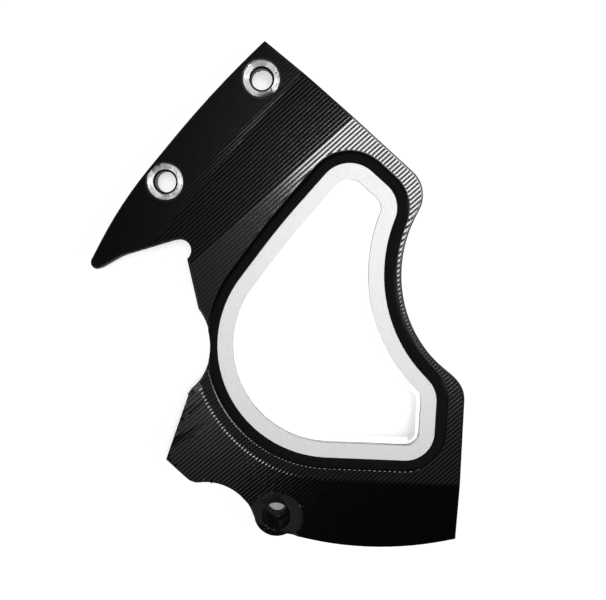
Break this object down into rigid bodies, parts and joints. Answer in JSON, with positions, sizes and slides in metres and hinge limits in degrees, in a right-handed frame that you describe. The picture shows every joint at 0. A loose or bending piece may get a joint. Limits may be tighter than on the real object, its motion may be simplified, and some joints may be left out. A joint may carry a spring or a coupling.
{
  "type": "motorcycle sprocket cover",
  "caption": "Faceted black milled cover for a front sprocket, with a silver window ring, a clear bevelled pane and bolt holes in an upper flange and a lower boss.",
  "frame": {"origin": "axis of the lower fixing hole, in the plane where its boss meets the engine", "axes": "+Z away from the engine along the fixing holes, +Y up the cover towards its top corner, +X to the rear"},
  "size_m": [0.131, 0.1792, 0.0191],
  "materials": {
    "black_anodised": "black anodised, satin, with milled ridges",
    "silver_ring": "clear anodised, matt",
    "clear_pane": "clear polycarbonate, polished",
    "steel_screws": "stainless"
  },
  "bodies": {
    "root": {"cover_body": "black_anodised", "window_ring": "silver_ring", "window_pane": "clear_pane", "ring_screws": "steel_screws"}
  },
  "joints": []
}
